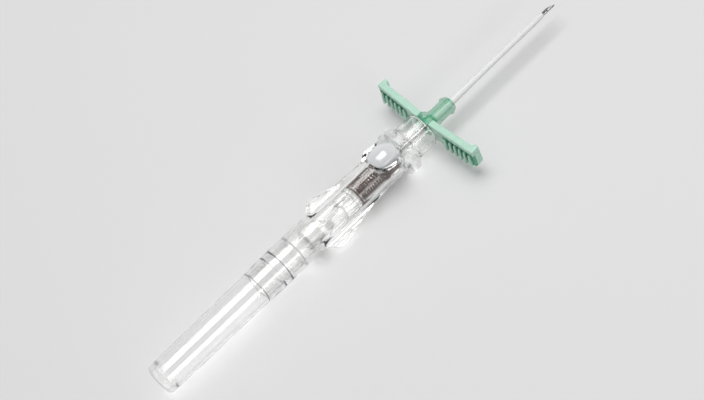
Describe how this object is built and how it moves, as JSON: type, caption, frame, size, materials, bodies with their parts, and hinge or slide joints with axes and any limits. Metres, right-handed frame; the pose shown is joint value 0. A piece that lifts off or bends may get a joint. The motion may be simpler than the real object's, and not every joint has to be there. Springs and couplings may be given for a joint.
{
  "type": "introducer needle",
  "caption": "Peel-away introducer on a spring-retracted needle: clear barrel, scooped clear grip with a white release button, green ribbed wings and a slim white cannula.",
  "frame": {"origin": "centre of the barrel's closed rear end face, on the needle's axis", "axes": "+X along the needle towards its sharp tip, +Z towards the button side, +Y to the left seen from the rear with the button up"},
  "size_m": [0.1239, 0.0308, 0.0116],
  "materials": {
    "barrel": "clear, smooth",
    "grip": "clear, smooth",
    "button": "smooth",
    "chamber": "clear, smooth",
    "plug": "porous",
    "needle_hub": "clear, smooth",
    "adhesive": "cured, clear",
    "needle": "polished",
    "spring": "drawn wire",
    "hub_green": "satin",
    "cannula": "waxy"
  },
  "bodies": {
    "housing": {"barrel": "barrel", "grip": "grip", "retraction_spring": "spring"},
    "button": {"latch_button": "button"},
    "needle_unit": {"needle_hub": "needle_hub", "flash_chamber": "chamber", "vent_plug": "plug", "needle_adhesive": "adhesive", "needle": "needle"},
    "introducer_left": {"hub_left": "hub_green", "cannula_left": "cannula"},
    "introducer_right": {"hub_right": "hub_green", "cannula_right": "cannula"}
  },
  "joints": [
    {"name": "button_press", "type": "slide", "parent": "housing", "child": "button", "axis": [0, 0, -1], "range_m": [0, 0.0013], "stiffness_N_per_m": 300},
    {"name": "needle_retraction", "type": "slide", "parent": "housing", "child": "needle_unit", "axis": [-1, 0, 0], "range_m": [0, 0.0425], "deforming": ["retraction_spring"]},
    {"name": "introducer_slide", "type": "slide", "parent": "housing", "child": "introducer_left", "axis": [1, 0, 0], "range_m": [0, 0.045]},
    {"name": "hub_peel", "type": "hinge", "parent": "introducer_left", "child": "introducer_right", "pos_m": [0.12, -0.00056, 0], "axis": [0, 0, 1], "range_deg": [0, 40]}
  ]
}
